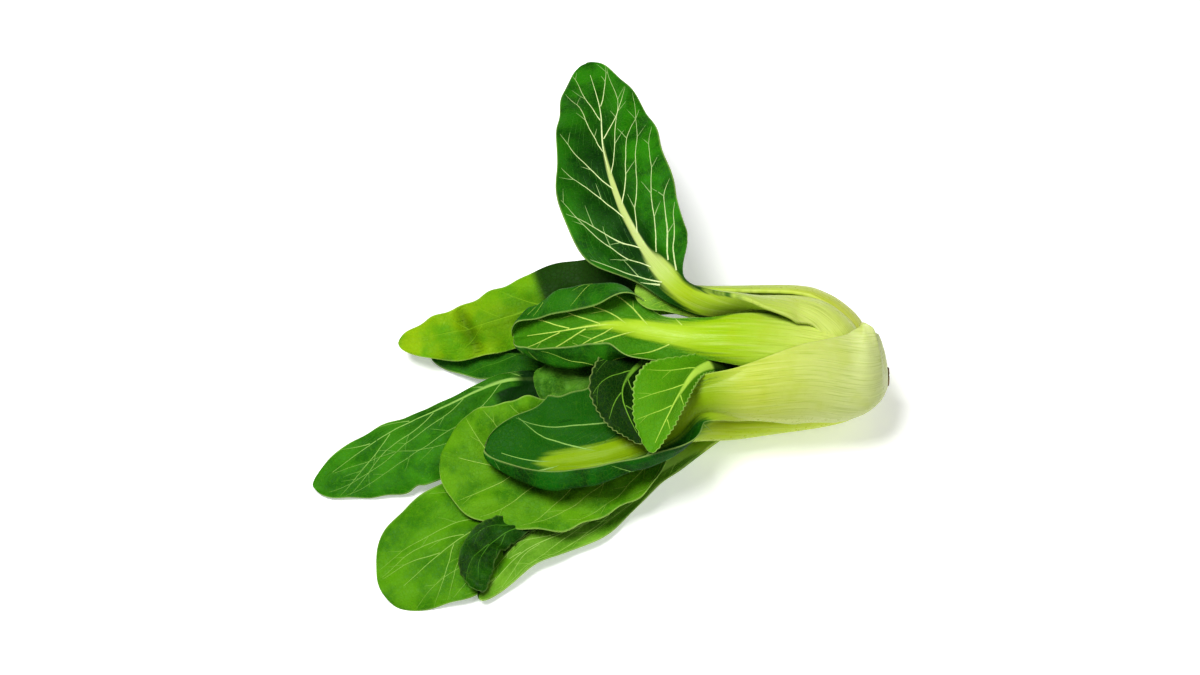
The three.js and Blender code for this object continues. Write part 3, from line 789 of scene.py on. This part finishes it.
# Low front leaf: the next stalk down, along the lower edge of the head, with a wide flat blade lying face
# up over the lower leaves. It joins the root end under the front stalk.
LOW_FRONT_ROWS = [
    (31.5, -9.5, 21.5, 42, 6, 6, 50, 50),
    (27, -12, 17, 42, 12, 12, 50, 50),
    (18, -16, 13, 42, 16, 16, 45, 45),
    (0, -19, 11, 44, 17, 17, 38, 38),
    (-26, -26, 15, 50, 17, 14, 75, 34),
    (-48, -31, 19, 48, 16, 12, 75, 20),
    (-70, -37, 20, 8, 20, 22, 10, 5),
    (-97, -44, 19, -16, 28, 30, 16, 6),
    (-128, -46, 18, -18, 29, 32, 18, 8),
    (-157, -38, 16, -18, 26, 36, 16, 8),
]
LOW_FRONT_LEAF = USUAL_LEAF | dict(
    seed=12, neck=0.4, closing=0.72, waves=(2.2, 4.5, 1),
    veins=7, heading=(46, 30), vein_size=0.9,
    swell=0.32, swell_size=(10, 24),
    base=(196, 214, 60), stem=(176, 202, 14), shade=(60, 118, 6), light=(96, 150, 16),
    back=(80, 136, 20), rib=(172, 202, 100),
)
body, veins = grow_leaf("low_front_leaf", LOW_FRONT_LEAF, LOW_FRONT_ROWS)
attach(body, "root")
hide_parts("low_front_leaf_stalk", "low_front_leaf_blade")
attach(veins, "root")


# Raised leaf: a stalk that twists over as it leaves the head and carries a dark blade upward and away,
# inner face up, on a pale midrib that spreads into the stalk like a funnel.
# Its blade is painted darker beside the midrib as shade, furthest out on its left half.
RAISED_ROWS = [
    (26, 0, 37, 216, 7, 7, 50, 50),
    (21.5, 4.5, 44.5, 216, 13, 13, 62, 62),
    (15, 10, 49.5, 217, 16, 12.5, 62, 55),
    (6, 14.3, 53, 220, 17, 12, 50, 42),
    (-6, 15.8, 54.5, 228, 15, 15, 40, 40),
    (-22, 13.5, 59, 246, 11, 12, 30, 30),
    (-40, 11.5, 65, 290, 9, 5.5, 25, 25),
    (-54, 15, 70, 335, 8.5, 4.5, 15, 15),
    (-64, 24, 73, 350, 12, 18, 8, 8),
    (-71, 35, 74, 352, 23, 21, 6, 6),
    (-79, 52, 76, 352, 25.5, 26, 10, 12),
    (-86, 80, 75, 350, 22, 25, 12, 14),
    (-88, 108, 68, 350, 21, 20.5, 14, 14),
    (-94, 140, 57, 350, 17, 14, 14, 14),
]
RAISED_LEAF = USUAL_LEAF | dict(
    seed=13, neck=0.42, closing=0.66, waves=(0.8, 3, 0),
    veins=8, heading=(34, 20), vein_size=1.3, crowded=1.6, fan=0.38, early=-0.025,
    midrib=2.6, narrow=(-0.12, 0.09), lobe=(0.14, 0.14), rib_shade=1.5, rib_shade_reach=(36, 11),
    base=(202, 216, 116), stem=(158, 188, 36), shade=(10, 74, 2), light=(42, 122, 4), back=(30, 100, 6),
    rib=(184, 200, 124), thread=(224, 235, 176),
)
body, veins = grow_leaf("raised_leaf", RAISED_LEAF, RAISED_ROWS)
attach(body, "root")
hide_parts("raised_leaf_stalk", "raised_leaf_blade")
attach(veins, "root")


# Middle leaf: the inner stalk between the front and raised ones. Its midrib fans into the blade, whose
# two margins roll over onto its back.
MIDDLE_ROWS = [
    (29, -4, 36, 172, 6, 6, 40, 40, 0, 0),
    (20, -4, 46, 172, 11, 11, 38, 38, 0, 0),
    (0, -4, 54, 172, 14, 14, 38, 38, 0, 0),
    (-22, -5, 60, 170, 13, 13, 30, 30, 0, 0),
    (-46, -4, 60, 168, 9, 10, 20, 20, 0, 0),
    (-66, 0, 58, 162, 9, 16, 10, 10, -30, -60),
    (-84, 5, 54, 156, 30, 27, 6, 6, -150, -150),
    (-106, 6, 47, 154, 28, 27, 6, 6, -165, -155),
    (-126, 8, 38, 154, 22, 20, 6, 6, -130, -120),
]
MIDDLE_LEAF = USUAL_LEAF | dict(
    seed=14, neck=0.46, closing=0.78, waves=(1.2, 4, 0),
    veins=7, heading=(38, 16), fan=0.9,
    midrib=8.5, rib_taper=1.6, narrow=(-0.08, 0.09), lobe=(0.08, 0.22), rib_shade=0,
    base=(212, 224, 122), stem=(152, 188, 20), shade=(12, 70, 5), light=(40, 108, 8), back=(68, 128, 8),
    rib=(166, 198, 50), thread=(190, 216, 100),
)
body, veins = grow_leaf("middle_leaf", MIDDLE_LEAF, MIDDLE_ROWS)
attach(body, "root")
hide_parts("middle_leaf_stalk", "middle_leaf_blade")
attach(veins, "root")


# Back leaf: the outer stalk along the far edge of the head. Its blade droops to the far left, yellowing
# toward the tip and creased once, with painted shade in the crease and where the raised leaf covers it.
BACK_ROWS = [
    (30.5, 2, 27, 262, 7, 7, 50, 50),
    (28, 11, 30.5, 262, 14, 14, 50, 50),
    (22, 19.5, 34, 262, 18, 17, 48, 48),
    (11, 26.5, 37, 262, 19, 17, 44, 44),
    (-3, 29.5, 38, 262, 18, 17, 38, 38),
    (-44, 28, 40, 268, 12, 12, 25, 25),
    (-66, 32, 38, 300, 12, 12, 10, 10),
    (-97, 34, 33, 335, 17, 15, -10, -10),
    (-123, 27, 27, 342, 15, 15, -14, -14),
    (-150, 22, 20, 340, 14, 12, -14, -14),
    (-178, 20, 13, 340, 12, 9, -10, -10),
]
BACK_LEAF = USUAL_LEAF | dict(
    seed=15, neck=0.42, closing=0.76, waves=(2.2, 5.5, 0.6), frill=1.1,
    veins=7, heading=(44, 34), vein_size=0.6,
    puff=0.35, swell=0.3, dents=((0.86, 0.014, 3),), painted_shade=(0.5, 0.71, 0.71), sun=0.2,
    base=(194, 204, 84), stem=(160, 190, 30), shade=(90, 148, 6), light=(110, 160, 6),
    back=(80, 140, 12), rib=(130, 174, 30),
)
body, veins = grow_leaf("back_leaf", BACK_LEAF, BACK_ROWS)
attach(body, "root")
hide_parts("back_leaf_stalk", "back_leaf_blade")
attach(veins, "root")


# Long leaf: the stalk the head rests on, hidden under the others. Only its blade shows, the longest one,
# low at the left with its midrib along the far margin.
# From its neck to past its middle the blade is painted dark as shade, a little further on its left half,
# where it lies under the others.
LONG_ROWS = [
    (31.5, -3, 17.5, 352, 5, 5, 30, 30),
    (20, 2, 7, 348, 10, 10, 30, 30),
    (0, 6, 2.6, 350, 12, 12, 28, 28),
    (-44, 5, 6, 356, 10, 10, 18, 18),
    (-80, 1, 11, 355, 9, 8, 0, 0),
    (-105, -1, 15, 352, 14, 5, -6, -10),
    (-130, -3, 18, 350, 23, 4, -8, -15),
    (-156, -15, 17, 348, 29, 2.5, -8, -15),
    (-171, -21.5, 14.5, 349, 29, 2.5, -8, -15),
    (-185, -28, 11, 350, 28, 6, -8, -10),
    (-214, -47, 2, 352, 18, 8, -4, -5),
]
LONG_LEAF = USUAL_LEAF | dict(
    seed=16, neck=0.38, closing=0.8, waves=(1.8, 6.5, 0),
    veins=9, heading=(30, 20), midrib=1.6, painted_shade=(0.36, 0.625, 0.67),
    shade=(32, 98, 4), light=(58, 128, 8), back=(44, 110, 10), rib=(150, 190, 96),
)
body, veins = grow_leaf("long_leaf", LONG_LEAF, LONG_ROWS)
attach(body, "root")
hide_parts("long_leaf_stalk", "long_leaf_blade")
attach(veins, "root")


# Far low leaf: a slim stalk at the back, under the back leaf. Its small dark blade lies below the back
# leaf's blade and reaches down to the table.
FAR_LOW_ROWS = [
    (31.5, 3, 21, 310, 4, 4, 30, 30),
    (20, 16, 14, 310, 8, 8, 30, 30),
    (0, 23, 13, 315, 8, 8, 26, 26),
    (-30, 18, 15, 335, 8, 8, 15, 15),
    (-60, 13, 16, 345, 11, 11, 5, 5),
    (-90, 13, 17, 350, 16, 15, 0, 0),
    (-119, 12, 16, 352, 13, 14, -4, -4),
    (-142, 16, 9, 352, 13, 13, -6, -6),
    (-164, 20, 2, 352, 11, 11, 0, 0),
]
FAR_LOW_LEAF = USUAL_LEAF | dict(
    seed=17, neck=0.36, closing=0.7, waves=(1.4, 4, 0), stalk=5,
    veins=6, vein_size=0.7,
    shade=(22, 84, 6), light=(44, 108, 10), back=(40, 106, 12), rib=(90, 146, 40),
)
body, veins = grow_leaf("far_low_leaf", FAR_LOW_LEAF, FAR_LOW_ROWS)
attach(body, "root")
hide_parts("far_low_leaf_stalk", "far_low_leaf_blade")
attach(veins, "root")


# Round leaf: a slim stalk under the front ones, ending in a broad round blade that lies flat on the table
# at the near left.
ROUND_ROWS = [
    (22, -6, 21, 30, 5, 5, 25, 25),
    (0, -9, 16, 25, 8, 8, 25, 25),
    (-28, -10, 10, 10, 7, 7, 15, 15),
    (-55, -18, 5, 4, 6, 6, 8, 8),
    (-84, -38, 5, 0, 9, 9, 0, 0),
    (-118, -58, 7, -2, 18, 20, -6, -6),
    (-144, -73, 9, -2, 25, 29, -8, -8),
    (-162, -87, 7, -2, 26, 33, -10, -10),
    (-179, -102, 1, -2, 22, 29, -8, -8),
]
ROUND_LEAF = USUAL_LEAF | dict(
    seed=18, neck=0.4, closing=0.7, waves=(1.6, 4, 0), stalk=5,
    veins=9, heading=(40, 24), midrib=1.4,
    shade=(56, 116, 6), light=(88, 146, 10), back=(50, 116, 10), rib=(150, 188, 90),
)
body, veins = grow_leaf("round_leaf", ROUND_LEAF, ROUND_ROWS)
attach(body, "root")
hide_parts("round_leaf_stalk", "round_leaf_blade")
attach(veins, "root")


# Bottom leaf: a thin stalk low in the head with a narrow pale blade under the low front one. Its far
# margin is painted dark as shade beside the wrinkled leaf.
SMALL_LEAF = USUAL_LEAF | dict(grid=(90, 22), midrib=2.6, vein_size=0.7, puff=0.5, swell=0.12)
BOTTOM_ROWS = [
    (16, -13, 21, 40, 3, 3, 10, 10),
    (-6, -16, 19, 40, 4, 4, 10, 10),
    (-30, -19, 8, 25, 5, 5, 10, 10),
    (-50, -31, 4, 10, 5, 5, 5, 5),
    (-70, -48, 5, 0, 6, 8, 5, 5),
    (-90, -64.5, 6, -4, 9, 13, 8, 8),
    (-107, -73.5, 7, -4, 10, 14, 8, 8),
    (-123, -83, 7, -4, 10, 12, 8, 8),
    (-140, -103, 5, -4, 9, 8, 6, 6),
]
BOTTOM_LEAF = SMALL_LEAF | dict(
    seed=19, neck=0.36, closing=0.5, waves=(1.0, 3, 0), stalk=4,
    veins=6, heading=(20, 12), under=0.45,
    shade=(84, 136, 24), light=(116, 166, 46), back=(80, 140, 40), rib=(160, 196, 100),
)
body, veins = grow_leaf("bottom_leaf", BOTTOM_LEAF, BOTTOM_ROWS)
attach(body, "root")
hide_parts("bottom_leaf_stalk", "bottom_leaf_blade")
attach(veins, "root")


# Wrinkled leaf: a young leaf on a thin stalk, dark and crumpled with a toothed margin, lying between the
# round blade and the bottom one.
WRINKLED_ROWS = [
    (4, -8, 24, 20, 3, 3, 0, 0),
    (-30, -14, 16, 10, 3, 3, 0, 0),
    (-60, -27, 11, 0, 3, 3, 0, 0),
    (-92, -53, 10, 0, 3, 3, 0, 0),
    (-114, -67, 9.8, 0, 3, 4, 0, 0),
    (-132, -77, 12, 0, 6, 10, 10, 10),
    (-140, -89, 12, 0, 9, 12, 10, 10),
    (-139, -102, 10, 0, 8, 9, 10, 10),
]
WRINKLED_LEAF = SMALL_LEAF | dict(
    seed=20, neck=0.5, closing=0.74, waves=(3, 6, 0), stalk=2.4, teeth=(1, 3.2), frill=0.7,
    veins=6, swell=0.3, swell_size=(6, 14), rim=0.25,
    stem=(120, 166, 40), shade=(6, 44, 4), light=(30, 84, 8), back=(26, 72, 10), rib=(80, 136, 36),
)
body, veins = grow_leaf("wrinkled_leaf", WRINKLED_LEAF, WRINKLED_ROWS)
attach(body, "root")
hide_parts("wrinkled_leaf_stalk", "wrinkled_leaf_blade")
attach(veins, "root")


# Young light leaf: a small leaf from the middle of the head, bright green with a finely toothed margin,
# hanging forward over the front leaf where its stalk turns into blade.
YOUNG_LEAF = SMALL_LEAF | dict(
    neck=0.44, closing=0.74, waves=(0.6, 3, 0), stalk=3, grid=(210, 20), teeth=(0.9, 2.4), veins=5,
)
YOUNG_LIGHT_ROWS = [
    (12, -7, 35, 140, 4, 4, 20, 20),
    (-14, -9, 44, 150, 4, 4, 20, 20),
    (-32, -11, 49, 160, 5, 4, 10, 10),
    (-45, -19.3, 57.5, 170, 9, 3, 5, 5),
    (-53, -32, 62.5, 176, 20, 4, -8, 5),
    (-60, -45.5, 61, 178, 17, 5, -8, 8),
    (-66.5, -58.5, 56, 178, 9, 4, 0, 8),
]
# Its stalk, deep in the head, is painted near-black green as shade up to just past the neck.
YOUNG_LIGHT_LEAF = YOUNG_LEAF | dict(
    seed=21, heading=(48, 40), painted_shade=(0, 0.53, 0.53),
    base=(12, 44, 6), stem=(24, 72, 8), shade=(60, 122, 4), light=(92, 148, 10), back=(78, 140, 10),
    rib=(170, 206, 80),
)
body, veins = grow_leaf("young_light_leaf", YOUNG_LIGHT_LEAF, YOUNG_LIGHT_ROWS)
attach(body, "root")
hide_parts("young_light_leaf_stalk", "young_light_leaf_blade")
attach(veins, "root")


# Young dark leaf: a second small leaf beside the light one, deep green, in part its own colour and in
# part painted shade, finely toothed and pointing forward over the front leaf's blade.
YOUNG_DARK_ROWS = [
    (10, -1, 33, 150, 4, 4, 20, 20),
    (-20, -4, 38, 150, 5, 5, 20, 20),
    (-48, -4, 42, 150, 6, 6, 10, 10),
    (-66, -7, 46, 160, 12, 9, 5, 5),
    (-76, -19, 50, 175, 16, 11, 5, 5),
    (-78, -32, 52, 178, 13, 11, 8, 8),
    (-70, -52, 52, 178, 7, 8, 8, 8),
]
YOUNG_DARK_LEAF = YOUNG_LEAF | dict(
    seed=22, heading=(44, 36),
    shade=(2, 32, 2), light=(10, 60, 3), back=(8, 46, 3), rib=(120, 170, 56),
)
body, veins = grow_leaf("young_dark_leaf", YOUNG_DARK_LEAF, YOUNG_DARK_ROWS)
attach(body, "root")
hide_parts("young_dark_leaf_stalk", "young_dark_leaf_blade")
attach(veins, "root")


# Crinkled leaf: a small crumpled leaf deep in the head, seen in the gap between the middle and the front
# blades.
CRINKLED_ROWS = [
    (10, -4, 25, 10, 5, 5, 20, 20),
    (-26, -8, 28, 5, 7, 7, 10, 10),
    (-53, -9, 30, -5, 8, 8, 5, 5),
    (-79, -9, 32, -10, 12, 11, 0, 0),
    (-101, -9, 30, -10, 13, 12, 0, 0),
    (-117, -8, 28, -10, 11, 11, 0, 0),
]
CRINKLED_LEAF = SMALL_LEAF | dict(
    seed=23, neck=0.4, closing=0.84, waves=(2.4, 6, 0), stalk=3.5, teeth=(1.6, 4), frill=1.4,
    veins=7, swell=0.35, swell_size=(6, 14), rim=0.4,
    stem=(120, 166, 40), shade=(50, 102, 22), light=(98, 152, 48), back=(24, 70, 8), rib=(70, 130, 30),
)
body, veins = grow_leaf("crinkled_leaf", CRINKLED_LEAF, CRINKLED_ROWS)
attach(body, "root")
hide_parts("crinkled_leaf_stalk", "crinkled_leaf_blade")
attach(veins, "root")


# Heart leaf: the innermost young leaf on a thin stalk. Its short light blade looks out between the middle
# leaf and the raised one.
HEART_ROWS = [
    (14, 2, 38, 340, 4, 4, 20, 20),
    (0, 7, 46, 340, 5, 5, 20, 20),
    (-18, 9, 51, 335, 5, 5, 15, 15),
    (-34, 11, 56, 330, 6, 5, 10, 10),
    (-48, 12, 60.5, 335, 6, 6, 5, 5),
    (-60, 14, 65, 340, 7.5, 7.5, 0, 0),
    (-73, 16, 65, 340, 7.5, 7.5, 0, 0),
]
HEART_LEAF = SMALL_LEAF | dict(
    seed=24, neck=0.74, closing=0.86, waves=(0.8, 3, 0), stalk=3,
    veins=5,
    stem=(130, 176, 30), shade=(96, 150, 30), light=(140, 178, 66), back=(110, 160, 40),
    rib=(130, 176, 40),
)
body, veins = grow_leaf("heart_leaf", HEART_LEAF, HEART_ROWS)
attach(body, "root")
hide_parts("heart_leaf_stalk", "heart_leaf_blade")
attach(veins, "root")


# Root end: the pale brown disc left where the head was cut from its root, at the far right. Its face
# carries the rings of the stalks' vessels, a shallow hollow and a few dry cracks.
RING_PITCH = 1.1
RING_DEPTH = 0.16
HOLLOW_DEPTH = 0.7
CRACK_DEPTH = 0.35
ROOT_GAP = 0.05
ROOT_STEPS = 72
ROOT_LINES = 26
root_middle = (np.array(root_low) + np.array(root_high)) / 2 / MM
root_radius = (root_high[1] - root_low[1]) / 2 / MM - ROOT_GAP
root_depth = (root_high[0] - root_low[0]) / 2 / MM - ROOT_GAP
turns = np.linspace(0, 2 * np.pi, ROOT_STEPS, endpoint=False)
rim_wave = 1 - 0.03 * (1 + np.sin(5 * turns + 1)) - 0.015 * (1 + np.sin(11 * turns))
crack_lines = np.maximum(0, np.cos(3.5 * turns + 0.6 * np.sin(3 * turns))) ** 24
root_points = [(root_middle[0] + root_depth - HOLLOW_DEPTH, root_middle[1], root_middle[2])]
profile = [(r, 1) for r in np.linspace(0.05, 0.93, ROOT_LINES)]
profile += [(1.0, 0.75), (1.0, -0.7), (0.93, -1), (0.5, -1)]
for reach, level in profile:
    radius = root_radius * reach * rim_wave
    x = root_middle[0] + root_depth * level + 0 * turns
    if level == 1:
        x -= HOLLOW_DEPTH * (1 - reach) ** 2
        x -= RING_DEPTH * (0.5 + 0.5 * np.cos(2 * np.pi * radius / RING_PITCH))
        x -= CRACK_DEPTH * crack_lines * reach
    y = root_middle[1] + radius * np.cos(turns)
    z = root_middle[2] + radius * np.sin(turns)
    root_points += list(zip(x, y, z))
root_points.append((root_middle[0] - root_depth, root_middle[1], root_middle[2]))
last = len(root_points) - 1
root_faces = []
for k in range(ROOT_STEPS):
    after = (k + 1) % ROOT_STEPS
    root_faces.append((0, 1 + k, 1 + after))
    for line in range(len(profile) - 1):
        a, b = 1 + line * ROOT_STEPS, 1 + (line + 1) * ROOT_STEPS
        root_faces.append((a + k, b + k, b + after, a + after))
    root_faces.append((last, b + after, b + k))
root_mesh = bpy.data.meshes.new("root_end_cut")
root_mesh.from_pydata((np.array(root_points) * MM).tolist(), [], root_faces)
root_mesh.shade_smooth()

root_finish, tree, shader = new_material("cut root")
where = node(tree, "ShaderNodeTexCoord", {})["Object"]
middle = tuple(root_middle * MM)
centred = node(tree, "ShaderNodeVectorMath", {0: where, 1: middle}, operation="SUBTRACT")[0]
across_face = node(tree, "ShaderNodeVectorMath", {0: centred, 1: (0, 1, 1)}, operation="MULTIPLY")[0]
from_middle = node(tree, "ShaderNodeVectorMath", {0: across_face}, operation="LENGTH")["Value"]
grain = noise(tree, where, 600, 5)
ring_turn = times(tree, from_middle, 2 * math.pi / (RING_PITCH * MM))
ring = node(tree, "ShaderNodeMath", {0: ring_turn}, operation="SINE")[0]
flesh = mix(tree, between(tree, grain, 0.35, 0.65), tint(186, 158, 96), tint(140, 104, 52))
flesh = mix(tree, between(tree, ring, -0.4, 0.9, 0, 0.6), flesh, tint(206, 194, 130))
flesh = mix(tree, between(tree, from_middle, 3.2 * MM, 4.4 * MM), flesh, tint(96, 64, 30))
bump = node(tree, "ShaderNodeBump", {"Height": grain, "Strength": 0.4, "Distance": 0.3 * MM})[0]
fill(tree, shader, {"Base Color": flesh, "Roughness": 0.75, "Normal": bump})
root_mesh.materials.append(root_finish)
root_cut = place_object("root_end_cut", root_mesh)
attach(root_cut, "root")
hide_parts("root_end")
